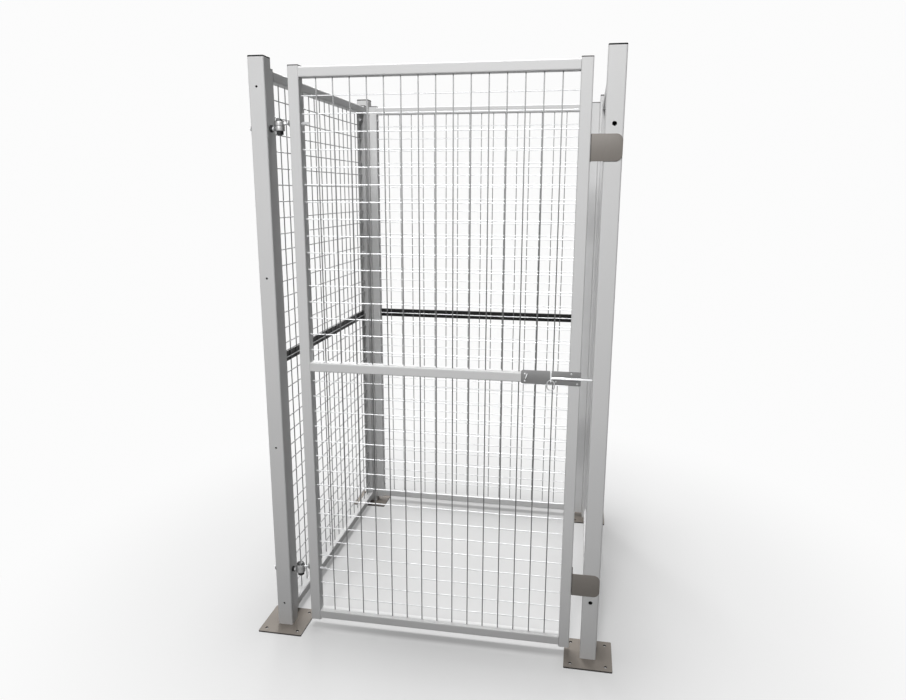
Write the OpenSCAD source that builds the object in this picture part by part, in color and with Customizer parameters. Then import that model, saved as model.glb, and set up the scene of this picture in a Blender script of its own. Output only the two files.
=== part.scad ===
// Wire mesh partition with door: a square cage of four posts, three fixed
// framed mesh panels and one hinged mesh door with a sliding bolt.
// Millimetres, +Z up, floor at Z = 0, origin in the middle of the floor plan.
// The door is on the -Y side, hinged on the -X post, and opens towards -Y.

/* [Cage] */
// Distance between post centres, left to right
bay_w = 1212; // [1000:2:1600]
// Distance between post centres, front to back
bay_d = 1212; // [800:2:2400]
// Overall height with the post caps
height = 2184; // [1800:2:2600]

/* [Posts] */
// Side of the square post tube
post_w = 60; // [50:1:80]
// Wall of the post tube
post_wall = 2; // [1.5:0.5:4]
// Thickness of the rim of the post caps
post_cap_t = 5; // [3:0.5:8]
// Side of the square base plate
base_w = 180; // [150:2:240]
// Thickness of the base plate
base_t = 6; // [4:1:12]
// Spacing of the anchor holes in the base plate
anchor_pitch = 130; // [100:2:190]
// Diameter of the anchor holes
anchor_d = 12; // [8:0.5:18]
// Diameter of the cross holes at hinge height
cross_d = 15; // [15:0.5:18]

/* [Frames] */
// Side of the upright frame tubes
stile_w = 40; // [34:1:50]
// Height of the top, bottom and door middle rails
rail_h = 35; // [28:1:45]
// Wall of the frame tubes
tube_wall = 2; // [1.5:0.5:3]
// Thickness of the rim of the stile caps
stile_cap_t = 4; // [2:0.5:6]
// Height of the black middle bars
bar_h = 40; // [25:1:60]
// Distance of the end panel bolts from the floor and from the top
bolt_inset = 102; // [80:1:300]

/* [Mesh] */
// Spacing of the mesh wires in both directions
mesh_pitch = 60; // [40:1:100]
// Diameter of a mesh wire
wire_d = 4; // [3:0.5:5]

/* [Door] */
// Gap between the left post and the door
hinge_gap = 78; // [76:1:90]
// Gap between the door and the right post
latch_gap = 42; // [36:1:60]
// Height of the lower hinge on the post
hinge_low = 242; // [150:1:500]
// Distance of the upper hinge below the top
hinge_drop = 240; // [150:1:500]
// Height of a stop plate
stop_h = 86; // [50:1:120]
// Height of the lower stop plate's middle above the floor
stop_low = 312; // [200:1:600]
// Distance of the upper stop plate's middle below the top
stop_drop = 314; // [200:1:600]

/* [Hinges] */
// Outer diameter of a hinge eye
eye_d = 36; // [32:1:40]
// Height of a hinge eye
eye_h = 16; // [12:1:20]
// Diameter of the hinge pin
pin_d = 16; // [12:0.5:18]
// Width across flats of the nuts on the post
post_nut_w = 22; // [20:1:26]
// Thickness of the nuts on the post
post_nut_t = 10; // [6:0.5:12]
// Width across flats of the nut under the pin
pin_nut_w = 24; // [20:1:28]
// Thickness of the nut under the pin
pin_nut_t = 13; // [4:0.5:16]
// Width across flats of the head of the pin
pin_head_w = 24; // [20:1:28]
// Width across flats of the nut on the door
door_nut_w = 17; // [14:1:20]
// Thickness of the nut on the door
door_nut_t = 8; // [5:0.5:10]
// Diameter of the flange of the nut on the door
door_flange_d = 25; // [20:0.5:30]

/* [Latch] */
// Diameter of the sliding bolt
rod_d = 8; // [6:0.5:8]
// Length of the latch plate
latch_len = 209; // [180:1:240]
// Height of the latch plate
latch_h = 50; // [36:1:70]
// Length of the bolt's sleeve
sleeve_len = 93.6; // [80:0.1:110]

/* [Hidden] */
$fn = 32;
post_r = 6;
tube_r = 5;
plate_r = 4;
plug_len = 14;
plug_fit = 0.1;
fn_wire = 16;
px = bay_w / 2;
py = bay_d / 2;
post_top = height - post_cap_t;
mid_z = height / 2;
clear_w = bay_w - post_w;
clear_d = bay_d - post_w;
stile_drop = 32;
rail_drop = 39;
stile_top = height - stile_drop - stile_cap_t;
rail_top = height - rail_drop;
rail_under = rail_top - rail_h;
panel_foot = 30;
panel_sill = 36;
panel_floor = panel_sill + rail_h;
side_wires = floor((clear_d - 2 * stile_w - 2 * wire_d) / mesh_pitch) + 1;
back_wires = round((clear_w - 2 * stile_w) / mesh_pitch) - 1;
end_bolt = mid_z - bolt_inset;
bolt_zs = [mid_z - end_bolt, mid_z - 0.33 * end_bolt, mid_z + 0.33 * end_bolt, mid_z + end_bolt];
bolt_r = 4;
door_set = 2;
door_x0 = -px + post_w / 2 + hinge_gap;
door_x1 = px - post_w / 2 - latch_gap;
door_w = door_x1 - door_x0;
door_cx = (door_x0 + door_x1) / 2;
door_wires = round((door_w - 2 * stile_w) / mesh_pitch) - 1;
door_y = -py + door_set;
door_front = door_y - stile_w / 2;
door_foot = 37;
door_sill = 43.5;
door_floor = door_sill + rail_h;
door_mid = mid_z - 2;
hinge_zs = [hinge_low, height - hinge_drop];
eye_r = eye_d / 2;
eye_up = eye_h + 0.4;
pin_set = 43;
pin_x = door_x0 - pin_set;
pin_r = pin_d / 2;
pin_flange_r = pin_head_w / 2 + 3;
pin_flange_t = 2;
pin_head_t = 7;
pin_tail = 3.5;
door_flange_t = 2;
door_shank_out = 28;
post_bolt_r = 7;
door_bolt_r = 5;
rod_r = rod_d / 2;
rod_z = mid_z + 1.5;
plate_t = 2;
rod_y = door_front - plate_t - 0.3 - rod_r;
plate_x1 = door_x1 + 2;
plate_x0 = plate_x1 - latch_len;
rod_tip = px - post_w / 2 - 1.6;
sleeve_x1 = plate_x1;
sleeve_x0 = plate_x1 - sleeve_len;
push_in = 8;
tab_t = 4;
tab_w = 8.2;
tab_h = 39.5;
tab_x = sleeve_x0 - push_in - 0.3 - tab_t;
ring_z = rod_z - 8;
ring_wire = 2.2;
ring_out = 15;
ring_len = 40;
lug_t = 3;
lug_len = 18;
lug_out = 14;
lug_tilt = 20;
stop_t = 3;
stop_zs = [stop_low, height - stop_drop];
stop_y = -py - post_w / 2 - 0.5 - stop_t;
screw_xz = [
  [plate_x0 + 14, -14.5],
  [plate_x0 + 14, 11],
  [plate_x1 - 87, -12],
  [plate_x1 - 34, 17],
  [plate_x1 - 12, -17.5]
];
post_grey = [0.80, 0.80, 0.81];
frame_grey = [0.78, 0.78, 0.79];
wire_grey = [0.70, 0.71, 0.72];
black = [0.08, 0.08, 0.09];
steel = [0.58, 0.54, 0.50];
dark = [0.40, 0.40, 0.41];
zinc = [0.86, 0.86, 0.87];

// ---- shapes used by several pieces ----

// Rounded rectangle, centred.
module rounded(w, h, r) {
  square([w - 2 * r, h], center = true);
  square([w, h - 2 * r], center = true);
  for (x = [-1, 1], y = [-1, 1])
    translate([x * (w / 2 - r), y * (h / 2 - r)]) circle(r);
}

// Cross-section of a hollow tube.
module tube_section(w, h, r, wall) {
  difference() {
    rounded(w, h, r);
    rounded(w - 2 * wall, h - 2 * wall, r - wall + 0.2);
  }
}

// Round rod along X, Y or Z from its start point.
module rod_x(r, len) {
  rotate([0, 90, 0]) cylinder(r = r, h = len);
}

module rod_y(r, len) {
  rotate([-90, 0, 0]) cylinder(r = r, h = len);
}

// Hexagon nut or bolt head along X, given by its width across flats.
module hex_x(flats, len) {
  rotate([0, 90, 0]) cylinder(d = flats / cos(30), h = len, $fn = 6);
}

// Hollow square tube standing up between two heights.
module upright_tube(z0, z1) {
  translate([0, 0, z0]) linear_extrude(z1 - z0)
    tube_section(stile_w, stile_w, tube_r, tube_wall);
}

// Hollow rail lying along X, centred, on the height z0.
module rail_tube(len, z0) {
  translate([-len / 2, 0, z0 + rail_h / 2]) rotate([90, 0, 90]) linear_extrude(len)
    tube_section(stile_w, rail_h, tube_r, tube_wall);
}

// Plastic cap for a square tube: a rim on the tube's end, and a plug inside it.
module tube_cap(w, r, wall, rim_t) {
  plug_w = w - 2 * wall - 2 * plug_fit;
  linear_extrude(rim_t) rounded(w, w, r);
  translate([0, 0, -plug_len]) linear_extrude(plug_len + 0.1)
    rounded(plug_w, plug_w, r - wall + 0.2);
}

// ---- posts ----

module post_tube() {
  translate([0, 0, base_t]) linear_extrude(post_top - base_t)
    tube_section(post_w, post_w, post_r, post_wall);
}

// Holes for the panel bolts through one wall, in the direction of turn a.
module wall_bolt_holes(a) {
  for (z = bolt_zs)
    rotate([0, 0, a]) translate([post_w / 2 - post_wall - 2, 0, z])
      rod_x(bolt_r + 0.05, post_wall + 4);
}

module base_plate() {
  difference() {
    linear_extrude(base_t) rounded(base_w, base_w, plate_r);
    for (x = [-1, 1], y = [-1, 1])
      translate([x * anchor_pitch / 2, y * anchor_pitch / 2, -1])
        cylinder(d = anchor_d, h = base_t + 2);
  }
}

module front_left_post() {
  color(post_grey) translate([-px, -py, 0]) difference() {
    post_tube();
    for (z = bolt_zs)
      translate([0, -post_w, z]) rod_y(bolt_r + 0.05, 2 * post_w);
    for (z = hinge_zs)
      translate([-post_w, 0, z]) rod_x(cross_d / 2, 2 * post_w);
  }
}

module front_right_post() {
  color(post_grey) translate([px, -py, 0]) difference() {
    post_tube();
    wall_bolt_holes(90);
    for (z = hinge_zs)
      translate([0, -post_w, z]) rod_y(cross_d / 2, 2 * post_w);
    translate([-post_w / 2 - 1, rod_y + py, rod_z]) rod_x(rod_r + 0.5, 21);
  }
}

module back_left_post() {
  color(post_grey) translate([-px, py, 0]) difference() {
    post_tube();
    wall_bolt_holes(0);
    wall_bolt_holes(-90);
  }
}

module back_right_post() {
  color(post_grey) translate([px, py, 0]) difference() {
    post_tube();
    wall_bolt_holes(180);
    wall_bolt_holes(-90);
  }
}

module front_left_base_plate() {
  color(steel) translate([-px, -py, 0]) base_plate();
}

module front_right_base_plate() {
  color(steel) translate([px, -py, 0]) base_plate();
}

module back_left_base_plate() {
  color(steel) translate([-px, py, 0]) base_plate();
}

module back_right_base_plate() {
  color(steel) translate([px, py, 0]) base_plate();
}

module post_caps() {
  color(black)
    for (x = [-px, px], y = [-py, py])
      translate([x, y, post_top]) tube_cap(post_w, post_r, post_wall, post_cap_t);
}

// ---- fixed panels ----
// A panel is drawn along X with its outer side towards +Y, then turned.

module at_left() {
  translate([-px, 0, 0]) rotate([0, 0, 90]) children();
}

module at_back() {
  translate([0, py, 0]) children();
}

module at_right() {
  translate([px, 0, 0]) rotate([0, 0, -90]) children();
}

// Upright tube at one end of the panel, with holes for its four bolts.
module panel_stile(clear, side) {
  translate([side * (clear - stile_w) / 2, 0, 0]) difference() {
    upright_tube(panel_foot, stile_top);
    for (z = bolt_zs)
      translate([-stile_w, 0, z]) rod_x(bolt_r + 0.05, 2 * stile_w);
  }
}

module panel_top_rail(clear) {
  rail_tube(clear - 2 * stile_w, rail_under);
}

module panel_bottom_rail(clear) {
  rail_tube(clear - 2 * stile_w, panel_sill);
}

// Flat tube behind the mesh, between the stiles.
module panel_bar(clear) {
  len = clear - 2 * stile_w;
  depth = stile_w / 2 - wire_d - 1;
  translate([-len / 2, wire_d + 0.1 + depth / 2, mid_z]) rotate([90, 0, 90])
    linear_extrude(len) difference() {
      rounded(depth, bar_h, 2);
      rounded(depth - 3, bar_h - 3, 1);
    }
}

module wires_up(count, z0, z1, y) {
  for (i = [0:count - 1])
    translate([(i - (count - 1) / 2) * mesh_pitch, y, z0])
      cylinder(d = wire_d, h = z1 - z0, $fn = fn_wire);
}

module wires_across(width, z0, z1, y, skip) {
  count = round((z1 - z0) / mesh_pitch) - 1;
  for (i = [0:count - 1])
    if (abs(mid_z - door_mid + (i - (count - 1) / 2) * mesh_pitch) > skip)
      translate([-width / 2, y, mid_z + (i - (count - 1) / 2) * mesh_pitch])
        rotate([0, 90, 0]) cylinder(d = wire_d, h = width, $fn = fn_wire);
}

module panel_upright_wires(count) {
  wires_up(count, panel_floor, rail_under, wire_d / 2 + 0.02);
}

module panel_cross_wires(clear) {
  wires_across(clear - 2 * stile_w, panel_floor, rail_under, -wire_d / 2, -1);
}

module panel_caps(clear) {
  for (s = [-1, 1])
    translate([s * (clear - stile_w) / 2, 0, stile_top])
      tube_cap(stile_w, tube_r, tube_wall, stile_cap_t);
}

// Hexagon head bolts through the stiles into the posts.
module panel_bolts(clear) {
  for (s = [0, 180], z = bolt_zs)
    rotate([0, 0, s]) translate([clear / 2 - stile_w, 0, z]) {
      translate([-5.3, 0, 0]) hex_x(13, 5.3);
      translate([-0.1, 0, 0]) rod_x(bolt_r, stile_w + 12);
    }
}

module left_panel_front_stile() {
  color(frame_grey) at_left() panel_stile(clear_d, -1);
}

module left_panel_back_stile() {
  color(frame_grey) at_left() panel_stile(clear_d, 1);
}

module left_panel_top_rail() {
  color(frame_grey) at_left() panel_top_rail(clear_d);
}

module left_panel_bottom_rail() {
  color(frame_grey) at_left() panel_bottom_rail(clear_d);
}

module left_panel_middle_bar() {
  color(black) at_left() panel_bar(clear_d);
}

module left_panel_upright_wires() {
  color(wire_grey) at_left() panel_upright_wires(side_wires);
}

module left_panel_cross_wires() {
  color(wire_grey) at_left() panel_cross_wires(clear_d);
}

module left_panel_stile_caps() {
  color(steel) at_left() panel_caps(clear_d);
}

module left_panel_bolts() {
  color(zinc) at_left() panel_bolts(clear_d);
}

module back_panel_left_stile() {
  color(frame_grey) at_back() panel_stile(clear_w, -1);
}

module back_panel_right_stile() {
  color(frame_grey) at_back() panel_stile(clear_w, 1);
}

module back_panel_top_rail() {
  color(frame_grey) at_back() panel_top_rail(clear_w);
}

module back_panel_bottom_rail() {
  color(frame_grey) at_back() panel_bottom_rail(clear_w);
}

module back_panel_middle_bar() {
  color(black) at_back() panel_bar(clear_w);
}

module back_panel_upright_wires() {
  color(wire_grey) at_back() panel_upright_wires(back_wires);
}

module back_panel_cross_wires() {
  color(wire_grey) at_back() panel_cross_wires(clear_w);
}

module back_panel_stile_caps() {
  color(steel) at_back() panel_caps(clear_w);
}

module back_panel_bolts() {
  color(zinc) at_back() panel_bolts(clear_w);
}

module right_panel_front_stile() {
  color(frame_grey) at_right() panel_stile(clear_d, 1);
}

module right_panel_back_stile() {
  color(frame_grey) at_right() panel_stile(clear_d, -1);
}

module right_panel_top_rail() {
  color(frame_grey) at_right() panel_top_rail(clear_d);
}

module right_panel_bottom_rail() {
  color(frame_grey) at_right() panel_bottom_rail(clear_d);
}

module right_panel_middle_bar() {
  color(black) at_right() panel_bar(clear_d);
}

module right_panel_upright_wires() {
  color(wire_grey) at_right() panel_upright_wires(side_wires);
}

module right_panel_cross_wires() {
  color(wire_grey) at_right() panel_cross_wires(clear_d);
}

module right_panel_stile_caps() {
  color(steel) at_right() panel_caps(clear_d);
}

module right_panel_bolts() {
  color(zinc) at_right() panel_bolts(clear_d);
}

// ---- door ----

module at_door() {
  translate([door_cx, door_y, 0]) children();
}

// Bores for the latch screws, through the plate and the tube walls.
module screw_bores() {
  for (p = screw_xz)
    translate([p[0], door_front - plate_t - 1, rod_z + p[1]]) rod_y(2.05, 12);
}

module door_hinge_stile() {
  color(frame_grey) difference() {
    at_door() translate([(stile_w - door_w) / 2, 0, 0]) upright_tube(door_foot, stile_top);
    for (z = hinge_zs)
      translate([door_x0 - 1, -py, z + eye_up]) rod_x(door_bolt_r + 0.05, stile_w + 2);
  }
}

module door_latch_stile() {
  color(frame_grey) difference() {
    at_door() translate([(door_w - stile_w) / 2, 0, 0]) upright_tube(door_foot, stile_top);
    screw_bores();
  }
}

module door_top_rail() {
  color(frame_grey) at_door() rail_tube(door_w - 2 * stile_w, rail_under);
}

module door_middle_rail() {
  color(frame_grey) difference() {
    at_door() rail_tube(door_w - 2 * stile_w, door_mid - rail_h / 2);
    screw_bores();
  }
}

module door_bottom_rail() {
  color(frame_grey) at_door() rail_tube(door_w - 2 * stile_w, door_sill);
}

module door_upright_wires() {
  color(wire_grey) at_door() {
    wires_up(door_wires, door_floor, door_mid - rail_h / 2, -wire_d / 2 - 0.02);
    wires_up(door_wires, door_mid + rail_h / 2, rail_under, -wire_d / 2 - 0.02);
  }
}

module door_cross_wires() {
  color(wire_grey) at_door()
    wires_across(door_w - 2 * stile_w, door_floor, rail_under, wire_d / 2, rail_h / 2 + wire_d);
}

module door_stile_caps() {
  color(steel) at_door()
    for (s = [-1, 1])
      translate([s * (door_w - stile_w) / 2, 0, stile_top])
        tube_cap(stile_w, tube_r, tube_wall, stile_cap_t);
}

// Angle plate on the free edge of the door that closes against the post.
module stop_plate(z) {
  leg = px + post_w / 2 - door_x1;
  r = stop_h * 0.26;
  translate([door_x1, stop_y, z - stop_h / 2]) {
    cube([stop_t, stile_w - door_set + 14, stop_h]);
    translate([0, stop_t, 0]) rotate([90, 0, 0]) linear_extrude(stop_t) {
      square([leg - r, stop_h]);
      translate([leg - r - 1, r]) square([r + 1, stop_h - 2 * r]);
      translate([leg - r, r]) circle(r);
      translate([leg - r, stop_h - r]) circle(r);
    }
  }
}

module upper_stop_plate() {
  color(steel) stop_plate(stop_zs[1]);
}

module lower_stop_plate() {
  color(steel) stop_plate(stop_zs[0]);
}

// ---- sliding bolt ----

module latch_plate() {
  r = 8;
  color(dark) difference() {
    translate([plate_x0, door_front, rod_z - latch_h / 2])
      rotate([90, 0, 0]) linear_extrude(plate_t) {
        translate([r, 0]) square([latch_len - r, latch_h]);
        translate([0, r]) square([r + 1, latch_h - 2 * r]);
        translate([r, r]) circle(r);
        translate([r, latch_h - r]) circle(r);
      }
    screw_bores();
  }
}

module latch_screws() {
  color(zinc)
    for (p = screw_xz)
      translate([p[0], door_front - plate_t, rod_z + p[1]]) {
        translate([0, -2, 0]) rod_y(3.6, 2);
        translate([0, -0.1, 0]) rod_y(2, 9);
      }
}

// Round guide for the bolt, flat where it sits on the plate.
module latch_sleeve() {
  back = door_front - plate_t;
  color(dark) difference() {
    translate([sleeve_x0, rod_y, rod_z]) rod_x(rod_r + 1.3, sleeve_x1 - sleeve_x0);
    translate([sleeve_x0 - 1, rod_y, rod_z]) rod_x(rod_r + 0.08, sleeve_x1 - sleeve_x0 + 2);
    translate([sleeve_x0 - 1, back, rod_z - 10]) cube([sleeve_x1 - sleeve_x0 + 2, 10, 20]);
  }
}

// Small slanting lug that stands out of the plate at its inner end.
module latch_lug() {
  color(zinc) translate([plate_x0 + 19.5, door_front - plate_t - lug_out, rod_z + 4.5])
    rotate([0, lug_tilt, 0]) translate([-lug_t / 2, 0, -lug_len / 2])
      cube([lug_t, lug_out, lug_len]);
}

// Round bolt with a flat finger tab that carries the ring.
module latch_bolt() {
  color(zinc) difference() {
    union() {
      translate([tab_x + tab_t / 2, rod_y, rod_z]) rod_x(rod_r, rod_tip - tab_x - tab_t / 2);
      translate([tab_x, rod_y - 4.5, ring_z - 6]) cube([tab_t, tab_w, tab_h]);
    }
    translate([tab_x - 1, rod_y, ring_z]) rod_x(ring_wire + 0.8, tab_t + 2);
  }
}

// Oval ring that hangs from the tab and swings outwards.
module latch_ring() {
  mid = ring_out - ring_wire;
  drop = ring_len - 2 * ring_out;
  color(zinc) translate([tab_x + tab_t / 2, rod_y, ring_z - mid]) rotate([90, 0, 0]) {
    rotate_extrude(angle = 180) translate([mid, 0]) circle(ring_wire);
    translate([0, -drop, 0]) rotate([0, 0, 180])
      rotate_extrude(angle = 180) translate([mid, 0]) circle(ring_wire);
    for (s = [-1, 1])
      translate([s * mid, 0, 0]) rotate([90, 0, 0]) cylinder(r = ring_wire, h = drop);
  }
}

// ---- hinges ----

// Eye bolt through the post, its eye around the pin.
module post_eye(z) {
  tip = -px - post_w / 2 - post_nut_t - 5;
  color(dark) translate([0, -py, z]) difference() {
    union() {
      translate([pin_x, 0, -eye_h / 2]) cylinder(r = eye_r, h = eye_h);
      translate([tip, 0, 0]) rod_x(post_bolt_r, pin_x - pin_r - 3 - tip);
    }
    translate([pin_x, 0, -eye_h]) cylinder(r = pin_r + 0.06, h = 2 * eye_h);
  }
}

// Eye bolt through the hinge stile of the door, on top of the post eye.
module door_eye(z) {
  color(zinc) translate([0, -py, z + eye_up]) difference() {
    union() {
      translate([pin_x, 0, -eye_h / 2]) cylinder(r = eye_r, h = eye_h);
      translate([pin_x + pin_r + 3, 0, 0])
        rod_x(door_bolt_r, door_x0 + stile_w + door_shank_out - pin_x - pin_r - 3);
    }
    translate([pin_x, 0, -eye_h]) cylinder(r = pin_r + 0.06, h = 2 * eye_h);
  }
}

module upper_hinge_post_eye() {
  post_eye(hinge_zs[1]);
}

module lower_hinge_post_eye() {
  post_eye(hinge_zs[0]);
}

module upper_hinge_door_eye() {
  door_eye(hinge_zs[1]);
}

module lower_hinge_door_eye() {
  door_eye(hinge_zs[0]);
}

// Bolts with flanged hexagon heads, dropped through both eyes as hinge pins.
module hinge_pins() {
  color(zinc)
    for (z = hinge_zs)
      translate([pin_x, -py, z]) {
        translate([0, 0, -eye_h / 2 - pin_nut_t - pin_tail])
          cylinder(r = pin_r, h = eye_h + eye_up + pin_nut_t + pin_tail + 0.5);
        translate([0, 0, eye_h / 2 + eye_up + 0.3]) {
          cylinder(r = pin_flange_r, h = pin_flange_t);
          cylinder(d = pin_head_w / cos(30), h = pin_head_t, $fn = 6);
        }
      }
}

module hinge_pin_nuts() {
  color(black)
    for (z = hinge_zs)
      translate([pin_x, -py, z - eye_h / 2 - pin_nut_t]) difference() {
        cylinder(d = pin_nut_w / cos(30), h = pin_nut_t, $fn = 6);
        translate([0, 0, -1]) cylinder(r = pin_r + 0.02, h = pin_nut_t + 2);
      }
}

module hinge_post_nuts() {
  color(dark)
    for (z = hinge_zs, x = [-px - post_w / 2 - post_nut_t, -px + post_w / 2])
      translate([x, -py, z]) difference() {
        hex_x(post_nut_w, post_nut_t);
        translate([-1, 0, 0]) rod_x(post_bolt_r + 0.02, post_nut_t + 2);
      }
}

module hinge_door_nuts() {
  color(zinc)
    for (z = hinge_zs)
      translate([door_x0 - door_nut_t, -py, z + eye_up]) difference() {
        union() {
          hex_x(door_nut_w, door_nut_t);
          translate([door_nut_t - door_flange_t, 0, 0]) rod_x(door_flange_d / 2, door_flange_t);
        }
        translate([-1, 0, 0]) rod_x(door_bolt_r + 0.02, door_nut_t + 2);
      }
}

// ---- what is drawn ----

front_left_post();
front_right_post();
back_left_post();
back_right_post();
front_left_base_plate();
front_right_base_plate();
back_left_base_plate();
back_right_base_plate();
post_caps();
left_panel_front_stile();
left_panel_back_stile();
left_panel_top_rail();
left_panel_bottom_rail();
left_panel_middle_bar();
left_panel_upright_wires();
left_panel_cross_wires();
left_panel_stile_caps();
left_panel_bolts();
back_panel_left_stile();
back_panel_right_stile();
back_panel_top_rail();
back_panel_bottom_rail();
back_panel_middle_bar();
back_panel_upright_wires();
back_panel_cross_wires();
back_panel_stile_caps();
back_panel_bolts();
right_panel_front_stile();
right_panel_back_stile();
right_panel_top_rail();
right_panel_bottom_rail();
right_panel_middle_bar();
right_panel_upright_wires();
right_panel_cross_wires();
right_panel_stile_caps();
right_panel_bolts();
door_hinge_stile();
door_latch_stile();
door_top_rail();
door_middle_rail();
door_bottom_rail();
door_upright_wires();
door_cross_wires();
door_stile_caps();
upper_stop_plate();
lower_stop_plate();
latch_plate();
latch_screws();
latch_sleeve();
latch_lug();
latch_bolt();
latch_ring();
upper_hinge_post_eye();
lower_hinge_post_eye();
upper_hinge_door_eye();
lower_hinge_door_eye();
hinge_pins();
hinge_post_nuts();
hinge_pin_nuts();
hinge_door_nuts();
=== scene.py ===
import math

import bpy
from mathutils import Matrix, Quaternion, Vector


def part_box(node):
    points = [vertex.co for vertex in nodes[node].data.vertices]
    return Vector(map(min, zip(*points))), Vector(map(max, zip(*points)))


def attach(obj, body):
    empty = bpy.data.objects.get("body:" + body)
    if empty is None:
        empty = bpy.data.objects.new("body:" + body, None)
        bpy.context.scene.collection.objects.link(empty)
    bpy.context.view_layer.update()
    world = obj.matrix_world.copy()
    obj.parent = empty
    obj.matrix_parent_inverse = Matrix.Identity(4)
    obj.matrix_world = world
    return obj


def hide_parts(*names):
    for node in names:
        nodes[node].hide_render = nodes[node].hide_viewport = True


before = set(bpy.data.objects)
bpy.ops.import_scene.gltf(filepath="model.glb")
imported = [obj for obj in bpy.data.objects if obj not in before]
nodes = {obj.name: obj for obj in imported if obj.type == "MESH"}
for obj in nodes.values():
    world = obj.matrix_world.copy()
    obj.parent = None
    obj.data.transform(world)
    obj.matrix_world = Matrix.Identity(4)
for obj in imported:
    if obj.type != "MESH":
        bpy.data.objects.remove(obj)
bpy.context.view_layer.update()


# ---- camera ----
# Stands a little to the right of the door, at eye height, and looks slightly
# down and to the left. Its turn is in degrees about X, Y and Z.
photo_width = 906
focal_pixels = 708.7
camera_place = (0.5248, -3.0515, 1.7291)
camera_turn = (77.427, -0.172, 10.358)

bpy.ops.object.camera_add(location=camera_place, rotation=[math.radians(a) for a in camera_turn])
camera = bpy.context.object
camera.name = "camera"
camera.data.sensor_width = 36
camera.data.lens = camera.data.sensor_width * focal_pixels / photo_width
bpy.context.scene.camera = camera
bpy.context.scene.view_settings.view_transform = "Standard"


# ---- floor and light ----
# A pale floor that fades into the white room, so no horizon shows. A wide soft
# lamp hangs over the cage, another stands in front, high up, and aims at its
# top, a weak one stands behind, and the room itself gives very little light.
room_white = 0.972
room_light = 0.02
floor_level = 0.52
floor_speckle = 0.01
floor_bounce = 0.15
floor_size = 24
fade_centre = (0.1, 0.0, 0.0)
fade_start, fade_end = 0.0, 2.2


class Value:
    """A number socket, so that shader maths is written as expressions."""

    def __init__(self, shader, socket):
        self.shader, self.socket = shader, socket

    def maths(self, operation, *others):
        return self.shader.value("ShaderNodeMath", {"operation": operation}, self, *others)

    def __add__(self, other):
        return self.maths("ADD", other)

    def __sub__(self, other):
        return self.maths("SUBTRACT", other)

    def __rsub__(self, other):
        return self * -1 + other

    def __mul__(self, other):
        return self.maths("MULTIPLY", other)

    __radd__, __rmul__ = __add__, __mul__

    def between(self, low, high):
        """0 at low, 1 at high, and smooth between them."""
        return self.shader.value("ShaderNodeMapRange", {"interpolation_type": "SMOOTHSTEP"},
                                 self, low, high)

    def swing(self, width):
        """Noise from 0 to 1, turned into as much below 0 as above it."""
        return (self - 0.5) * width


class Shader:
    """The node tree of a material or of the world, filled from empty."""

    def __init__(self, owner):
        owner.use_nodes = True
        self.owner, self.tree = owner, owner.node_tree
        self.tree.nodes.clear()

    def feed(self, socket, value):
        """Links a socket, or sets it to a number or a colour."""
        source = value.socket if isinstance(value, Value) else value
        if isinstance(source, bpy.types.NodeSocket):
            self.tree.links.new(source, socket)
        else:
            socket.default_value = source

    def node(self, kind, settings=None, *inputs, out=0, **named):
        """A node of a type, with its settings and what goes into its sockets."""
        made = self.tree.nodes.new(kind)
        for key, value in (settings or {}).items():
            setattr(made, key, value)
        for key, value in [*enumerate(inputs), *named.items()]:
            self.feed(made.inputs[key.replace("_", " ") if isinstance(key, str) else key], value)
        return made.outputs[out] if made.outputs else None

    def value(self, *args, **named):
        return Value(self, self.node(*args, **named))

    def place(self, stretch=(1, 1, 1)):
        """Object coordinates, stretched for grain that runs one way."""
        coordinates = self.node("ShaderNodeTexCoord", out="Object")
        return self.node("ShaderNodeMapping", None, coordinates, Scale=stretch)

    def part(self, vector, axis):
        """One coordinate of a place or a direction."""
        return self.value("ShaderNodeSeparateXYZ", None, vector, out=axis)

    def noise(self, place, scale, detail=2.0, roughness=0.5):
        """Noise from 0 to 1, with features of about 1/scale metres."""
        return self.value("ShaderNodeTexNoise", None, Vector=place, Scale=scale,
                          Detail=detail, Roughness=roughness)

    def mix(self, factor, first, second):
        """A blend of two colours, which are sockets 6 and 7 of this node."""
        made = self.tree.nodes.new("ShaderNodeMix")
        made.data_type = "RGBA"
        for key, value in ((0, factor), (6, first), (7, second)):
            self.feed(made.inputs[key], value)
        return made.outputs[2]

    def bump(self, height, strength, depth):
        return self.node("ShaderNodeBump", None, strength, depth, Height=height)

    def output(self, surface, kind="ShaderNodeOutputMaterial"):
        self.node(kind, None, surface)
        return self.owner

    def coat(self, **named):
        """Ends a material in one Principled surface."""
        return self.output(self.node("ShaderNodeBsdfPrincipled", **named))


def new_shader(name):
    return Shader(bpy.data.materials.new(name))


def grey(level, warmth=0.0):
    """A nearly neutral linear colour; warmth above 0 leans to brown, below to blue."""
    return (level * (1 + warmth), level, level * (1 - warmth), 1)


def looked_at(shader):
    """1 where the camera, gloss or glass looks, and 0 for light that bounces."""
    rays = shader.tree.nodes.new("ShaderNodeLightPath").outputs
    seen = Value(shader, rays["Is Camera Ray"])
    for kind in ("Is Glossy Ray", "Is Transmission Ray"):
        seen = seen.maths("MAXIMUM", Value(shader, rays[kind]))
    return seen


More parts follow.
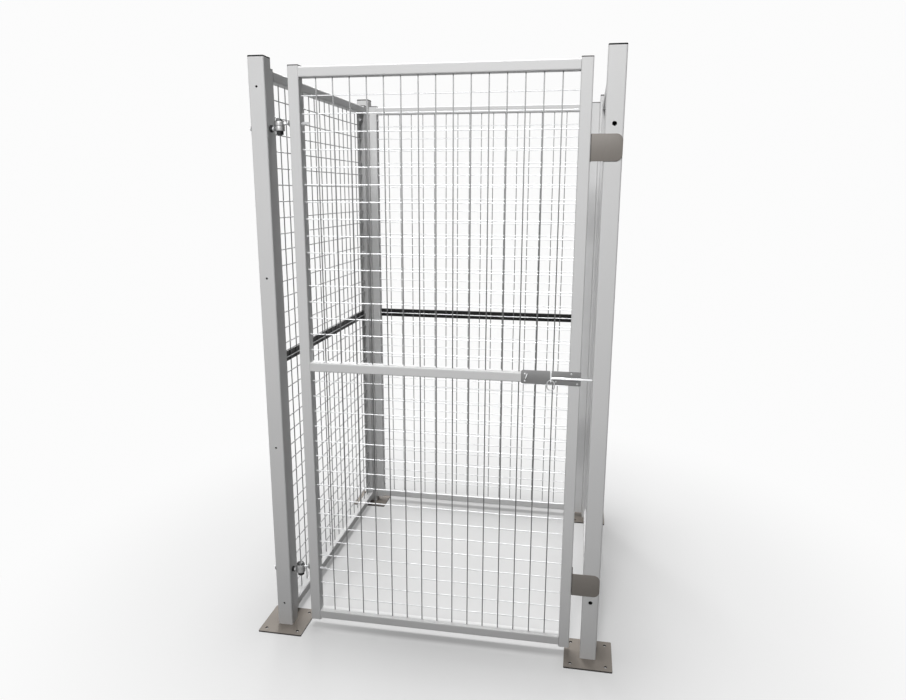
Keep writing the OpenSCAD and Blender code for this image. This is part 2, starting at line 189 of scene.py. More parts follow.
def floor_material():
    """Speckled and pale where it is looked at, darker to light that bounces."""
    shader = new_shader("pale_floor")
    seen = looked_at(shader)
    place = shader.place()
    distance = shader.value("ShaderNodeVectorMath", {"operation": "DISTANCE"}, place, fade_centre,
                            out="Value")
    pale = shader.mix(shader.noise(place, 90, detail=4), grey(floor_level * (1 - floor_speckle)),
                      grey(floor_level * (1 + floor_speckle)))
    ground = shader.node("ShaderNodeBsdfDiffuse", None,
                         shader.mix(seen, grey(floor_bounce), pale))
    white = shader.node("ShaderNodeEmission", None, grey(room_white))
    far = distance.between(fade_start, fade_end) * seen
    return shader.output(shader.node("ShaderNodeMixShader", None, far, ground, white))


def room():
    """White where it is looked at, and a plain soft light elsewhere."""
    world = bpy.data.worlds.new("room")
    bpy.context.scene.world = world
    shader = Shader(world)
    light = shader.node("ShaderNodeBackground", None, grey(1.0), room_light)
    white = shader.node("ShaderNodeBackground", None, grey(room_white))
    surface = shader.node("ShaderNodeMixShader", None, looked_at(shader), light, white)
    shader.output(surface, "ShaderNodeOutputWorld")


def lamp(name, place, target, cone, radius, power):
    """A soft-edged spotlight; its beam fades from the middle to the edge of the cone."""
    direction = Vector(target) - Vector(place)
    bpy.ops.object.light_add(type="SPOT", location=place,
                             rotation=direction.to_track_quat("-Z", "Y").to_euler())
    light = bpy.context.object
    light.name = name
    light.data.spot_size = math.radians(cone)
    light.data.spot_blend = 1.0
    light.data.shadow_soft_size = radius
    light.data.energy = power


bpy.ops.mesh.primitive_circle_add(vertices=96, radius=floor_size / 2, fill_type="NGON")
floor = bpy.context.object
floor.name = "floor"
floor.data.materials.append(floor_material())

room()
lamp("top_lamp", (-0.4, 0.5, 13.8), (0.0, 0.0, 0.0), cone=60, radius=2.2, power=8200)
lamp("key_lamp", (-0.4, -8.0, 5.2), (0.0, -0.6, 2.60), cone=46.4, radius=0.8, power=2390)
lamp("back_lamp", (-2.6, 6.0, 4.6), (0.0, 0.4, 1.4), cone=48, radius=0.8, power=600)


# ---- posts ----
# Square steel tubes with rounded corners, powder coated pale grey over zinc.
# The coat has a fine orange-peel skin and a little dust near the floor. Inside,
# the post tubes are bare steel, darkened to near black as painted shade.
mm = 0.001
paint_level = 0.70
dust_top = 0.12
dust_cover = 0.22
# the bare inside of the post tubes, darkened to near black as painted shade
shaded_bare_tube = 0.02
outer_skin = 1.82 * mm
inner_skin = 1.98 * mm


def paint(name, bare=None):
    """Powder coat, with uncoated steel darkened to near black as painted shade where bare is 1.
    """
    shader = new_shader(name)
    place = shader.place()
    skin = shader.noise(place, 420, detail=2)
    patches = shader.noise(place, 2.3, detail=3)
    low_down = 1 - shader.part(place, "Z").between(0.0, dust_top)
    dust = low_down * shader.noise(place, 38, detail=4) * dust_cover
    clean = shader.mix(patches, grey(paint_level * 0.965, -0.004),
                       grey(paint_level * 1.03, 0.003))
    colour = shader.mix(dust, clean, grey(paint_level * 0.55, 0.06))
    if bare:
        # bare steel inside the tubes, painted near black as shade
        colour = shader.mix(bare(shader, place), colour, grey(shaded_bare_tube))
    rough = 0.43 + patches.swing(0.10) + dust * 0.6 + skin.swing(0.05)
    return shader.coat(Base_Color=colour, Roughness=rough, Specular_IOR_Level=0.2,
                       Normal=shader.bump(skin, 0.12, 0.4 * mm))


def inside_posts(shader, place):
    """1 inside the four post tubes, and 0 on their outer skin with its round corners."""
    low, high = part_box("front_left_post")
    middle, half = (low + high) / 2, (high.x - low.x) / 2
    across = [(shader.part(place, axis).maths("ABSOLUTE") - abs(middle[axis])).maths("ABSOLUTE")
              for axis in (0, 1)]
    reach = across[0].maths("MAXIMUM", across[1])
    return 1 - reach.between(half - inner_skin, half - outer_skin)


def dress(names, material):
    """Gives carried-over CAD nodes their material."""
    for name in names:
        piece = nodes[name]
        piece.data.materials.clear()
        piece.data.materials.append(material)


dress([n for n in nodes if n.endswith("_post")], paint("post_paint", inside_posts))


# ---- base plates ----
# Flat plates of hot rolled stainless, brushed one way and left bare, with a
# warm brown-grey tone. Their upright sides and the walls of their holes are
# darkened as painted shade.
# how much painted shade darkens the plates' sides and hole walls, and to what level
shade_cover = 0.85
shade_tone = 0.1


def shaded_sides(shader, place):
    """1 on the plates' upright sides and hole walls, which take painted shade, and 0 on the flat
    faces.
    """
    facing = shader.node("ShaderNodeNewGeometry", out="Normal")
    return 1 - shader.part(facing, "Z").maths("ABSOLUTE").between(0.3, 0.8)


def brushed_steel(name, level, warmth, grain, metal, dark=None):
    """Steel brushed along the axis where grain is small, and darkened as painted shade where dark
    is 1.
    """
    shader = new_shader(name)
    place = shader.place()
    lines = shader.noise(shader.place(grain), 900, detail=3)
    clouds = shader.noise(place, 14, detail=4, roughness=0.6)
    tone = shader.mix(clouds, grey(level * 0.86, warmth), grey(level * 1.12, warmth))
    colour = shader.mix(lines * 0.35, tone, grey(level * 0.72, warmth))
    if dark:
        # painted shade where the dark mask is 1
        colour = shader.mix(dark(shader, place) * shade_cover, colour, grey(level * shade_tone))
    rough = 0.52 + lines.swing(0.12) + clouds.swing(0.10)
    return shader.coat(Base_Color=colour, Roughness=rough, Metallic=metal,
                       Normal=shader.bump(lines, 0.10, 0.3 * mm), Specular_IOR_Level=0.3)


dress([n for n in nodes if n.endswith("_base_plate")],
      brushed_steel("bare_plate", 0.212, 0.12, (1, 0.04, 1), 0.15, shaded_sides))


# ---- frames of the panels and the door ----
# Square tube stiles and rails, welded at the corners and powder coated like
# the posts.
dress([n for n in nodes if n.endswith(("_stile", "_rail"))], paint("frame_paint"))


# ---- wires ----
# Drawn round wire, welded at each crossing and galvanised. The upright wires
# are painted darker halfway up and lighter near the floor and the top, as
# painted shade and painted highlight, and the cross wires of the door and the
# back are painted a little darker near the floor, as painted shade.
def upright_painted_light(shader, place):
    """The share of the full level that an upright wire has at each height: painted shade halfway
    up, painted highlight near the top and the floor.
    """
    height = shader.part(place, "Z")
    halfway, near_top, near_floor = 0.30, 0.62, 0.28
    return (halfway + height.between(1.25, 2.25) * near_top
            + (1 - height.between(0.1, 0.8)) * near_floor)


def cross_painted_shade(shader, place):
    """The share of the full level that a cross wire has at each height: painted shade near the
    floor.
    """
    near_floor = 0.80
    return near_floor + shader.part(place, "Z").between(0.25, 0.9) * (1 - near_floor)


def zinc(name, level, rough_level, metal=0.9, shade=None):
    """Zinc plate with faint clouds, at the share of its level that shade gives; shade paints
    light and shade by height.
    """
    shader = new_shader(name)
    place = shader.place()
    clouds = shader.noise(place, 60, detail=3)
    fine = shader.noise(place, 900, detail=2)
    colour = shader.mix(clouds, grey(level * 0.88, -0.01), grey(level * 1.10, -0.01))
    if shade:
        # painted light and shade by height, where shade is given
        colour = shader.mix(shade(shader, place), grey(0.0), colour)
    return shader.coat(Base_Color=colour, Roughness=rough_level + clouds.swing(0.16),
                       Metallic=metal, Normal=shader.bump(fine, 0.10, 0.2 * mm))


# All the wire is the same galvanised zinc. The door's and the back's cross wires get a much
# higher level, as painted light from above, than the uprights and the side panels' cross wires,
# which are painted shaded copies.
dress([n for n in nodes if n.endswith("_upright_wires")],
      zinc("upright_wire", 0.42, 0.45, 0.5, upright_painted_light))
dress(["door_cross_wires", "back_panel_cross_wires"],
      zinc("cross_wire", 0.82, 0.50, 0.45, cross_painted_shade))
dress(["left_panel_cross_wires", "right_panel_cross_wires"],
      zinc("side_cross_wire", 0.38, 0.45, 0.2))


# ---- middle bars ----
# Flat black tubes behind the mesh, which stiffen the three fixed panels. Their
# plastic coat has a fine grain and a few duller patches.
def plastic(name, level, warmth=0.0, gloss=0.15):
    """Plastic with a fine grain and duller patches."""
    shader = new_shader(name)
    place = shader.place()
    grain = shader.noise(place, 1400, detail=2)
    wear = shader.noise(place, 25, detail=3)
    colour = shader.mix(wear, grey(level * 0.85, warmth), grey(level * 1.25, warmth))
    return shader.coat(Base_Color=colour, Roughness=0.42 + wear.swing(0.15),
                       Normal=shader.bump(grain, 0.15, 0.2 * mm), Specular_IOR_Level=gloss)


dress([n for n in nodes if n.endswith("_middle_bar")], plastic("black_bar", 0.010))


# ---- post caps and stile caps ----
# Moulded plastic caps pressed into the open tube ends. The rim lies on the
# tube's end with rounded top edges, and a plug below it grips the inside.
# An edge or a normal runs along an axis where it has more than "aligned" of it.
cap_round = 1.2 * mm
cap_land = 1.2 * mm
cap_dish = 0.6 * mm
dish_taper = 0.97
plug_inset = 2.1 * mm
post_corner = 6 * mm
stile_corner = 5 * mm
smooth_below = math.radians(35)
aligned = 0.9


def start(add, **settings):
    """Adds a primitive with nothing else selected, and opens it for editing."""
    bpy.ops.object.select_all(action="DESELECT")
    add(**settings)
    bpy.ops.object.transform_apply(location=True, rotation=True, scale=True)
    bpy.ops.object.mode_set(mode="EDIT")
    return bpy.context.object


def block(low, high):
    """A box between two corners, opened for editing."""
    low, high = Vector(low), Vector(high)
    return start(bpy.ops.mesh.primitive_cube_add, size=1, location=(low + high) / 2,
                 scale=high - low)


def pick_faces(piece, test):
    """Selects the faces whose middle and normal pass the test."""
    bpy.ops.mesh.select_mode(type="FACE")
    bpy.ops.mesh.select_all(action="DESELECT")
    bpy.ops.object.mode_set(mode="OBJECT")
    for face in piece.data.polygons:
        face.select = test(face.center, face.normal)
    bpy.ops.object.mode_set(mode="EDIT")


def pick_edges(piece, test):
    """Selects the edges whose middle and direction pass the test."""
    bpy.ops.mesh.select_mode(type="EDGE")
    bpy.ops.mesh.select_all(action="DESELECT")
    bpy.ops.object.mode_set(mode="OBJECT")
    points = piece.data.vertices
    for edge in piece.data.edges:
        first, second = (points[i].co for i in edge.vertices)
        edge.select = test((first + second) / 2, (second - first).normalized())
    bpy.ops.object.mode_set(mode="EDIT")


def close(piece):
    """Leaves editing, with the piece alone selected."""
    if bpy.context.mode != "OBJECT":
        bpy.ops.object.mode_set(mode="OBJECT")
    bpy.ops.object.select_all(action="DESELECT")
    piece.select_set(True)
    bpy.context.view_layer.objects.active = piece
    return piece


def join(parts):
    """Several closed shapes as one object."""
    close(parts[0])
    for part in parts:
        part.select_set(True)
    if len(parts) > 1:
        bpy.ops.object.join()
    return parts[0]


def hand_over(piece, node, material, body):
    """Shades and names a piece, and says what it stands for, rides on and is made of."""
    close(piece)
    bpy.ops.object.shade_smooth_by_angle(angle=smooth_below)
    piece.name = piece.data.name = node + "_detail"
    piece.data.materials.clear()
    piece.data.materials.append(material)
    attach(piece, body)
    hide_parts(node)


def cap_on(tube, cap_node, corner):
    """The rim on the end of one tube, and the plug inside the tube."""
    low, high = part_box(tube)
    foot, top = (c.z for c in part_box(cap_node))
    piece = block((low.x, low.y, high.z), (high.x, high.y, top))
    pick_edges(piece, lambda middle, way: abs(way.z) > aligned)
    bpy.ops.mesh.bevel(offset=corner, segments=6)
    pick_faces(piece, lambda middle, normal: normal.z < -aligned)
    bpy.ops.mesh.inset(thickness=plug_inset)
    bpy.ops.mesh.extrude_region_move(TRANSFORM_OT_translate={"value": (0, 0, foot - high.z)})
    pick_faces(piece, lambda middle, normal: normal.z > aligned)
    bpy.ops.mesh.region_to_loop()
    bpy.ops.mesh.bevel(offset=cap_round, segments=4)
    pick_faces(piece, lambda middle, normal: normal.z > aligned and middle.z > top - 0.01 * mm)
    bpy.ops.mesh.inset(thickness=cap_land)
    bpy.ops.mesh.extrude_region_move(TRANSFORM_OT_translate={"value": (0, 0, -cap_dish)})
    bpy.ops.transform.resize(value=(dish_taper, dish_taper, 1), center_override=(low + high) / 2)
    return close(piece)


def caps(cap_node, tubes, corner, material, body):
    """The caps of one node, one on each tube."""
    rims = [cap_on(tube, cap_node, corner) for tube in tubes]
    hand_over(join(rims), cap_node, material, body)


caps("post_caps", [n for n in nodes if n.endswith("_post")], post_corner,
     plastic("black_cap", 0.006, 0.0, 0.04), "cage")
stile_plastic = plastic("stile_cap", 0.13, 0.01, 0.08)
for panel in ("left_panel", "back_panel", "right_panel", "door"):
    stiles = [n for n in nodes if n.startswith(panel) and n.endswith("_stile")]
    caps(panel + "_stile_caps", stiles, stile_corner, stile_plastic,
         "door" if panel == "door" else "cage")


# ---- hinge eye bolts ----
# Forged steel eye bolts with cut threads: one through the post and one
# through the stile of the door, with their two eyes on top of each other.
eye_w = 36 * mm
eye_round = 1.2 * mm
bore_round = 0.8 * mm
pin_r = 8 * mm
pin_play = 0.1 * mm
post_shank_r, post_neck = 7 * mm, 3 * mm
door_shank_r, door_neck = 5 * mm, 4 * mm
shank_lead = 1.2 * mm
thread_depth = 0.7 * mm
thread_pitch = 2 * mm
thread_hidden = 1 * mm
tail_plain = 1.5 * mm
doubles = 0.001 * mm


def turned(base, along, steps, sides=40, hollow=False):
    """A lathed shape, where each step is (distance along the axis, radius).

    The last step of a hollow shape comes back to its first.
    """
    base, along = Vector(base), Vector(along)
    at, radius = steps[0]
    piece = start(bpy.ops.mesh.primitive_circle_add, vertices=sides, radius=radius,
                  fill_type="NGON", location=base + along * at,
                  rotation=along.to_track_quat("Z", "Y").to_euler())
    for next_at, next_radius in steps[1:]:
        bpy.ops.mesh.extrude_region_move(
            TRANSFORM_OT_translate={"value": along * (next_at - at)})
        if next_radius != radius:
            bpy.ops.transform.resize(value=[next_radius / radius] * 3,
                                     center_override=base + along * next_at)
        at, radius = next_at, next_radius
    if hollow:
        bpy.ops.mesh.select_face_by_sides(number=4, type="GREATER", extend=False)
        bpy.ops.mesh.delete(type="FACE")
        bpy.ops.mesh.select_all(action="SELECT")
        bpy.ops.mesh.remove_doubles(threshold=doubles)
    bpy.ops.mesh.select_all(action="SELECT")
    bpy.ops.mesh.normals_make_consistent(inside=False)
    return close(piece)


def combine(piece, other, operation):
    """Unites, cuts or intersects a piece with another, which is used up."""
    close(piece)
    step = piece.modifiers.new("combine", "BOOLEAN")
    step.operation, step.object, step.solver = operation, other, "EXACT"
    bpy.ops.object.modifier_apply(modifier=step.name)
    bpy.data.objects.remove(other)
    return piece


def thread(first, last, radius):
    """The steps of a thread from one distance to another."""
    turns = max(1, round((last - first) / thread_pitch))
    pitch = (last - first) / turns
    steps = []
    for i in range(turns):
        steps += [(first + i * pitch, radius), (first + (i + 0.5) * pitch, radius - thread_depth)]
    return steps + [(last, radius)]


def eye(middle, radius, height):
    """The ring of an eye bolt, with rounded edges."""
    bore = pin_r + pin_play
    flat = height / 2 - eye_round
    arc = [math.radians(a) for a in (0, 22.5, 45, 67.5, 90)]
    upper = [(flat + eye_round * math.sin(a), radius - eye_round + eye_round * math.cos(a))
             for a in arc]
    lower = [(-at, r) for at, r in reversed(upper)]
    rim = height / 2 - bore_round
    inside = [(height / 2, bore + bore_round), (rim, bore),
              (-rim, bore), (-height / 2, bore + bore_round)]
    return turned(middle, (0, 0, 1), lower + upper + inside + lower[:1], sides=56, hollow=True)


def eye_bolt(node, side, shank_r, shown):
    """An eye with a flared neck, and a shank that is threaded where it shows."""
    low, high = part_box(node)
    radius = (high.y - low.y) / 2
    middle = (low + high) / 2
    middle.x = low.x + radius if side > 0 else high.x - radius
    length = high.x - low.x - radius
    flare = [(pin_r + 3 * mm, 2.5 * mm), (radius - 2 * mm, 1.6 * mm),
             (radius + 1 * mm, 0.4 * mm), (radius + 2.5 * mm, 0)]
    steps = [(at, shank_r + swell) for at, swell in flare]
    for near, far in shown:
        steps += thread(abs(near - middle.x), abs(far - middle.x), shank_r)
    steps += [(length - shank_lead, shank_r), (length, shank_r - shank_lead)]
    shank = turned(middle, (side, 0, 0), steps, sides=32)
    return combine(eye(middle, radius, high.z - low.z), shank, "UNION")


def forged(name, level, cut_level, cut_from, cut_to):
    """Dark forged steel that turns to bright cut metal along X."""
    shader = new_shader(name)
    place = shader.place()
    scale_marks = shader.noise(place, 240, detail=4, roughness=0.65)
    fine = shader.noise(place, 1800, detail=2)
    cut = shader.part(place, "X").between(cut_from, cut_to)
    dark = shader.mix(scale_marks, grey(level * 0.75), grey(level * 1.25))
    return shader.coat(Base_Color=shader.mix(cut, dark, grey(cut_level, -0.01)),
                       Roughness=0.46 + scale_marks.swing(0.16) - cut * 0.14,
                       Metallic=0.85, Normal=shader.bump(fine, 0.15, 0.2 * mm))


post_left, post_right = (c.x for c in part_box("front_left_post"))
stile_left, stile_right = (c.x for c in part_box("door_hinge_stile"))
outer_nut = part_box("hinge_post_nuts")[0].x
eye_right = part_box("upper_hinge_post_eye")[1].x
eye_left = eye_right - eye_w
post_eye_steel = forged("post_eye_steel", 0.34, 0.75, eye_left - 1 * mm, eye_left - post_neck)
door_eye_steel = forged("door_eye_steel", 0.36, 0.65, eye_right, eye_right + door_neck)
for level in ("upper", "lower"):
    post_eye = level + "_hinge_post_eye"
    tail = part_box(post_eye)[0].x
    hand_over(eye_bolt(post_eye, -1, post_shank_r,
                       [(eye_left - post_neck, post_right + thread_hidden),
                        (outer_nut + thread_hidden, tail + tail_plain)]),
              post_eye, post_eye_steel, "cage")
    door_eye = level + "_hinge_door_eye"
    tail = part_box(door_eye)[1].x
    hand_over(eye_bolt(door_eye, 1, door_shank_r,
                       [(eye_right + door_neck, stile_left - thread_hidden),
                        (stile_right - thread_hidden, tail - tail_plain)]),
              door_eye, door_eye_steel, "door")


# ---- hinge pins and nuts ----
# Flanged hexagon bolts serve as hinge pins, each with a black nut under the
# eyes. Plain hexagon nuts clamp the post, and a flanged nut sits on the door.
nut_lead = 0.6 * mm
corner_slope = math.tan(math.radians(30))
end_face = 0.475
pin_flats, pin_head_t = 24 * mm, 5.2 * mm
pin_flange_t = 1.8 * mm
pin_lead = 1.4 * mm
pin_thread_end = 17 * mm
door_nut_flats = 17 * mm


def hexagon(base, along, flats, thickness, bore=0.0):
    """A nut or a bolt head, with its corners turned off at both ends."""
    base, along = Vector(base), Vector(along)
    corner = flats / math.sqrt(3)
    face = end_face * flats
    slope = (corner - face) * corner_slope
    outside = [(0, face), (slope, corner), (thickness - slope, corner), (thickness, face)]
    turn = along.to_track_quat("Z", "Y") @ Quaternion((0, 0, 1), math.radians(30 * abs(along.z)))
    prism = start(bpy.ops.mesh.primitive_cylinder_add, vertices=6, radius=corner,
                  depth=thickness, location=base + along * thickness / 2,
                  rotation=turn.to_euler())
    close(prism)
    if bore:
        inside = [(thickness, bore + nut_lead), (thickness - nut_lead, bore),
                  (nut_lead, bore), (0, bore + nut_lead)]
        lens = turned(base, along, outside + inside + outside[:1], sides=64, hollow=True)
    else:
        lens = turned(base, along, outside, sides=64)
    return combine(prism, lens, "INTERSECT")


def hinge_pin(low, high):
    """One pin: flange and head on top, and a threaded tail below."""
    middle = (low + high) / 2
    flange_r = (high.x - low.x) / 2
    head_foot = high.z - pin_head_t
    flange_foot = head_foot - pin_flange_t
    head = hexagon((middle.x, middle.y, head_foot), (0, 0, 1), pin_flats, pin_head_t)
    flange = turned((middle.x, middle.y, flange_foot), (0, 0, 1),
                    [(0, flange_r - 0.4 * mm), (0.4 * mm, flange_r), (1.2 * mm, flange_r),
                     (2.2 * mm, 13 * mm), (2.4 * mm, 11 * mm)], sides=56)
    length = flange_foot - low.z
    shaft = turned((middle.x, middle.y, low.z), (0, 0, 1),
                   [(0, pin_r - pin_lead), (pin_lead, pin_r)]
                   + thread(pin_lead + 0.1 * mm, pin_thread_end, pin_r)
                   + [(length + 1 * mm, pin_r)], sides=40)
    return combine(combine(shaft, flange, "UNION"), head, "UNION")


def at_both_hinges(make, node):
    """The same shape at the upper and the lower hinge, from the node's two solids."""
    low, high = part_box(node)
    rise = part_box("upper_hinge_post_eye")[0].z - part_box("lower_hinge_post_eye")[0].z
    lift = Vector((0, 0, rise))
    return join([make(low, high - lift), make(low + lift, high)])


def pin_nut(low, high):
    """The black nut under one pair of eyes."""
    middle = (low + high) / 2
    return hexagon((middle.x, middle.y, low.z), (0, 0, 1), high.y - low.y, high.z - low.z, pin_r)


def post_nut_pair(low, high):
    """The nuts on both sides of the post."""
    middle = (low + high) / 2
    flats = high.y - low.y
    return join([hexagon((low.x, middle.y, middle.z), (1, 0, 0), flats, post_left - low.x,
                         post_shank_r),
                 hexagon((post_right, middle.y, middle.z), (1, 0, 0), flats,
                         high.x - post_right, post_shank_r)])


def door_nut(low, high):
    """A nut with a wide flange against the door's stile."""
    middle = (low + high) / 2
    flange_r = (high.y - low.y) / 2
    nut = hexagon((low.x, middle.y, middle.z), (1, 0, 0), door_nut_flats, high.x - low.x,
                  door_shank_r)
    rim = (0, flange_r - 0.4 * mm)
    flange = turned((high.x, middle.y, middle.z), (-1, 0, 0),
                    [rim, (0.5 * mm, flange_r), (1.2 * mm, flange_r), (2.6 * mm, 9.4 * mm),
                     (2.6 * mm, 7 * mm), (0, 7 * mm), rim], sides=48, hollow=True)
    return combine(nut, flange, "UNION")


hand_over(at_both_hinges(hinge_pin, "hinge_pins"), "hinge_pins",
          zinc("pin_steel", 0.10, 0.34), "cage")
hand_over(at_both_hinges(pin_nut, "hinge_pin_nuts"), "hinge_pin_nuts",
          zinc("black_steel", 0.022, 0.40, 0.6), "cage")
hand_over(at_both_hinges(post_nut_pair, "hinge_post_nuts"), "hinge_post_nuts",
          zinc("dark_nut", 0.06, 0.30), "cage")
hand_over(at_both_hinges(door_nut, "hinge_door_nuts"), "hinge_door_nuts",
          zinc("blue_zinc", 0.12, 0.38), "door")


# ---- stop plates ----
# Steel angles welded to the free edge of the door. The wide leg has two round
# corners and closes against the post's front.
stop_t = 3 * mm
stop_corner = 22.36 * mm
bend_r = 2.8 * mm
# painted shade along the bend at the stop plates' left edge
bend_shade = 0.6
edge_break = 0.4 * mm
stop_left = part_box("upper_stop_plate")[0].x


def shaded_bend(shader, place):
    """How much painted shade darkens a stop plate along the bend at its left edge, and 0
    elsewhere.
    """
    across = shader.part(place, "X")
    return bend_shade - across.between(stop_left + 1.5 * mm, stop_left + 4 * mm) * bend_shade


def soften(piece):
    """Breaks the sharp edges of a piece."""
    close(piece)
    edge = piece.modifiers.new("soften", "BEVEL")
    edge.width, edge.segments = edge_break, 2
    edge.limit_method, edge.angle_limit = "ANGLE", math.radians(40)
    bpy.ops.object.modifier_apply(modifier=edge.name)
    return piece


def stop_plate(node):
    """The flat leg with its round corners, then the leg that runs back, then the bend."""
    low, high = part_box(node)
    piece = block(low, (high.x, low.y + stop_t, high.z))
    pick_edges(piece, lambda middle, way: abs(way.y) > aligned and middle.x > high.x - mm)
    bpy.ops.mesh.bevel(offset=stop_corner, segments=12)
    bpy.ops.mesh.select_all(action="SELECT")
    bpy.ops.mesh.bisect(plane_co=(low.x + stop_t, 0, 0), plane_no=(1, 0, 0))
    pick_faces(piece, lambda middle, normal: normal.y > aligned and middle.x < low.x + stop_t)
    bpy.ops.mesh.extrude_region_move(
        TRANSFORM_OT_translate={"value": (0, high.y - low.y - stop_t, 0)})
    pick_edges(piece, lambda middle, way: abs(way.z) > aligned
               and middle.x < low.x + 0.1 * mm and middle.y < low.y + 0.1 * mm)
    bpy.ops.mesh.bevel(offset=bend_r, segments=5)
    return soften(piece)


stop_steel = brushed_steel("stop_steel", 0.225, 0.09, (1, 1, 0.04), 0.0, shaded_bend)
for node in ("upper_stop_plate", "lower_stop_plate"):
    hand_over(stop_plate(node), node, stop_steel, "door")


# ---- latch plate and its screws ----
# A satin grey steel plate on the door's middle rail and stile, held by five
# pan head screws. A small lug is bent out of its inner end; it is given the
# bolt's bright zinc as a painted highlight where its edge catches the light.
plate_corner = 8 * mm
screw_r, screw_len = 2 * mm, 9 * mm
screw_head_r = 3.6 * mm
screw_head_t = 2 * mm
recess_w = 1.0 * mm
recess_len = 3.6 * mm
recess_depth = 0.6 * mm
lug_t = 3 * mm
lug_len = 18 * mm
lug_corner = 3 * mm
lug_tilt = math.radians(20)
plate_low, plate_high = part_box("latch_plate")
rod_z = (plate_low.z + plate_high.z) / 2
screw_places = [(14, -14.5), (14, 11), (122, -12), (175, 17), (197, -17.5)]
latch_paint = brushed_steel("latch_grey", 0.25, 0.0, (0.04, 1, 1), 0.25)
bright = zinc("bright_zinc", 0.50, 0.38)
# the bolt's bright zinc, also put on the lug as a painted highlight
bolt_zinc_and_lug_highlight = zinc("bolt_zinc_and_lug_highlight", 0.85, 0.38)


def latch_plate():
    """The plate, with its two inner corners rounded."""
    piece = block(plate_low, plate_high)
    pick_edges(piece, lambda middle, way: abs(way.y) > aligned and middle.x < plate_low.x + mm)
    bpy.ops.mesh.bevel(offset=plate_corner, segments=8)
    return soften(piece)


def screw(x, z):
    """A pan head with a cross recess, and its shank through the plate."""
    face = Vector((x, plate_low.y, z))
    head = turned(face, (0, -1, 0), [
        (-screw_len, screw_r - 0.4 * mm), (-screw_len + 0.6 * mm, screw_r), (0, screw_r),
        (0, screw_head_r), (0.5 * mm, screw_head_r), (1.2 * mm, 0.88 * screw_head_r),
        (1.7 * mm, 0.66 * screw_head_r), (screw_head_t, 0.35 * screw_head_r)], sides=28)
    centre = face - Vector((0, screw_head_t, 0))
    for across, other in (((1, 0, 0), (0, 0, 1)), ((0, 0, 1), (1, 0, 0))):
        reach = (Vector(across) * recess_len / 2 + Vector(other) * recess_w / 2
                 + Vector((0, recess_depth, 0)))
        head = combine(head, close(block(centre - reach, centre + reach)), "DIFFERENCE")
    return head


def lug():
    """A strip with round outer corners, turned so that its top leans to the latch."""
    low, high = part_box("latch_lug")
    middle = (low + high) / 2
    half = Vector((lug_t / 2, (high.y - low.y) / 2, lug_len / 2))
    piece = block(middle - half, middle + half)
    pick_edges(piece, lambda place, way: abs(way.x) > aligned and place.y < low.y + mm)
    bpy.ops.mesh.bevel(offset=lug_corner, segments=6)
    piece = soften(piece)
    piece.location = middle - Quaternion((0, 1, 0), lug_tilt) @ middle
    piece.rotation_euler = (0, lug_tilt, 0)
    bpy.ops.object.transform_apply(location=True, rotation=True, scale=True)
    return piece


hand_over(latch_plate(), "latch_plate", latch_paint, "door")
hand_over(join([screw(plate_low.x + x * mm, rod_z + z * mm) for x, z in screw_places]),
          "latch_screws", bright, "door")
# the lug, bent from the grey plate, takes the bright bolt zinc as a painted highlight
hand_over(lug(), "latch_lug", bolt_zinc_and_lug_highlight, "door")


# ---- sliding bolt and its ring ----
# A bright round bolt runs in a sleeve that is welded to the plate. Its inner
# end is forged to a flat tab, and an oval ring hangs in the tab's hole.
rod_r = 4 * mm
sleeve_play = 0.1 * mm
sleeve_lead = 0.5 * mm
tab_t = 4 * mm
tab_corner = 2.5 * mm
tab_gap = 0.3 * mm
tab_hole_r = 3 * mm
ring_wire = 2.2 * mm
sleeve_low, sleeve_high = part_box("latch_sleeve")
sleeve_r = (sleeve_high.z - sleeve_low.z) / 2
rod_y = sleeve_low.y + sleeve_r
ring_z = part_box("latch_ring")[1].z - ring_wire


def sleeve():
    """A tube with broken rims, cut flat where it meets the plate."""
    low, high = sleeve_low, sleeve_high
    bore, lead, length = rod_r + sleeve_play, sleeve_lead, high.x - low.x
    rim = [(0, bore + 0.2 * mm), (0, sleeve_r - lead), (lead, sleeve_r),
           (length - lead, sleeve_r), (length, sleeve_r - lead), (length, bore + 0.2 * mm),
           (length - lead, bore), (lead, bore)]
    tube = turned((low.x, rod_y, rod_z), (1, 0, 0), rim + rim[:1], sides=48, hollow=True)
    behind = close(block((low.x - mm, high.y, low.z - mm),
                         (high.x + mm, high.y + sleeve_r, high.z + mm)))
    return combine(tube, behind, "DIFFERENCE")


def bolt():
    """The rod with its rounded tip, and the flat tab with the ring's hole."""
    low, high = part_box("latch_bolt")
    tab = block(low, (low.x + tab_t, high.y - tab_gap, high.z))
    pick_edges(tab, lambda middle, way: abs(way.x) > aligned)
    bpy.ops.mesh.bevel(offset=tab_corner, segments=5)
    tab = soften(tab)
    hole = turned((low.x - mm, rod_y, ring_z), (1, 0, 0),
                  [(0, tab_hole_r), (tab_t + 2 * mm, tab_hole_r)])
    tab = combine(tab, hole, "DIFFERENCE")
    length = high.x - low.x - tab_t / 2
    rod = turned((low.x + tab_t / 2, rod_y, rod_z), (1, 0, 0),
                 [(0, rod_r), (length - 1.5 * mm, rod_r), (length - 0.5 * mm, rod_r - 0.6 * mm),
                  (length, rod_r - 1.6 * mm)], sides=48)
    return combine(rod, tab, "UNION")


def ring():
    """A torus whose lower half is drawn down to make it oval."""
    low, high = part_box("latch_ring")
    mid_r = (high.x - low.x) / 2 - ring_wire
    drop = high.z - low.z - (high.x - low.x)
    centre = Vector(((low.x + high.x) / 2, (low.y + high.y) / 2, high.z - mid_r - ring_wire))
    piece = start(bpy.ops.mesh.primitive_torus_add, major_segments=56, minor_segments=16,
                  major_radius=mid_r, minor_radius=ring_wire, location=centre,
                  rotation=(math.radians(90), 0, 0))
    pick_faces(piece, lambda middle, normal: middle.z < centre.z)
    bpy.ops.transform.translate(value=(0, 0, -drop))
    return close(piece)


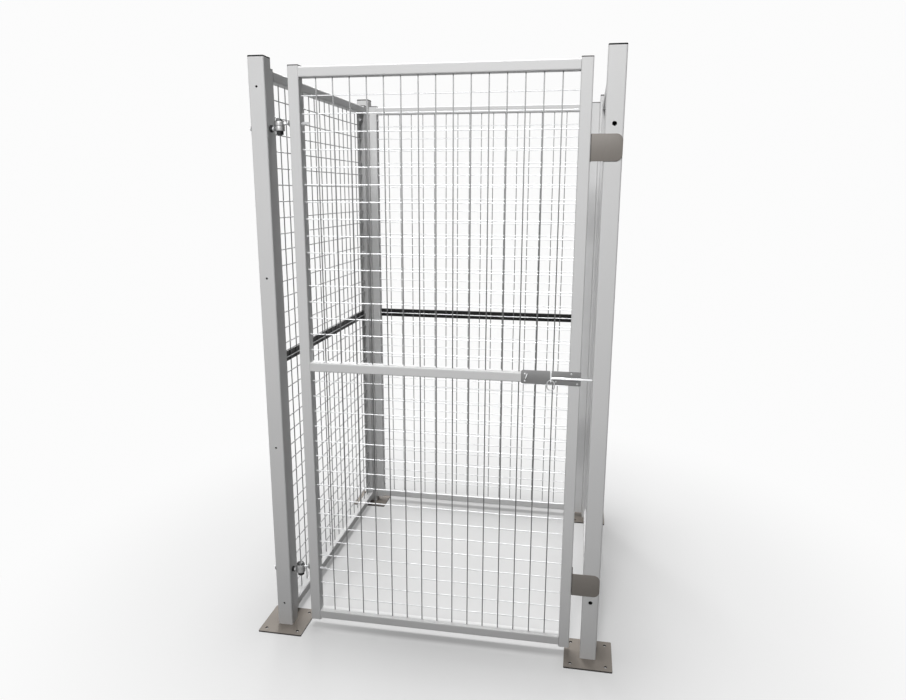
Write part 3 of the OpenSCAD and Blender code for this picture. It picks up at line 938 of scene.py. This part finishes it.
hand_over(sleeve(), "latch_sleeve", bright, "door")
hand_over(bolt(), "latch_bolt", bolt_zinc_and_lug_highlight, "sliding_bolt")
hand_over(ring(), "latch_ring", bright, "bolt_ring")


# ---- panel bolts ----
# Zinc plated hexagon bolts, put through each fixed panel's stiles from inside
# and screwed into the posts.
bolt_flats = 13 * mm
bolt_head_t = 5.3 * mm
bolt_r = 4 * mm
bolt_len = 52 * mm
bolt_thread = 10 * mm
bolt_lead = 1 * mm
bolt_heights = (-1, -0.33, 0.33, 1)


def panel_bolt():
    """One bolt along +X, with its head's seat at the origin."""
    head = hexagon((0, 0, 0), (-1, 0, 0), bolt_flats, bolt_head_t)
    thread_end = bolt_len - bolt_lead
    shaft = turned((0, 0, 0), (1, 0, 0), [
        (-1 * mm, bolt_r), (thread_end - bolt_thread - 1 * mm, bolt_r),
        *thread(thread_end - bolt_thread, thread_end, bolt_r),
        (bolt_len, bolt_r - bolt_lead)], sides=20)
    return combine(head, shaft, "UNION")


def copy_of(piece, place, turn):
    """A copy with its own mesh, turned about Z and moved from the origin to its place."""
    close(piece)
    bpy.ops.object.duplicate()
    twin = bpy.context.object
    twin.location, twin.rotation_euler = place, (0, 0, turn)
    bpy.ops.object.transform_apply(location=True, rotation=True, scale=True)
    return twin


def panel_bolts(node, stiles):
    """Four bolts through each of the two stiles, with their heads inside the cage."""
    low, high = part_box(node)
    middle = (low + high) / 2
    rise = (high.z - low.z) / 2 - bolt_flats / math.sqrt(3)
    model = panel_bolt()
    bolts = []
    for stile in stiles:
        near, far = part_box(stile)
        seat = (near + far) / 2
        outward = Vector([round(c, 2) for c in (seat - middle).xy] + [0]).normalized()
        seat -= outward * (far.x - near.x) / 2
        turn = math.atan2(outward.y, outward.x)
        for share in bolt_heights:
            bolts.append(copy_of(model, (seat.x, seat.y, middle.z + share * rise), turn))
    bpy.data.objects.remove(model)
    return join(bolts)


for panel in ("left_panel", "back_panel", "right_panel"):
    stiles = [n for n in nodes if n.startswith(panel) and n.endswith("_stile")]
    hand_over(panel_bolts(panel + "_bolts", stiles), panel + "_bolts", bright, "cage")
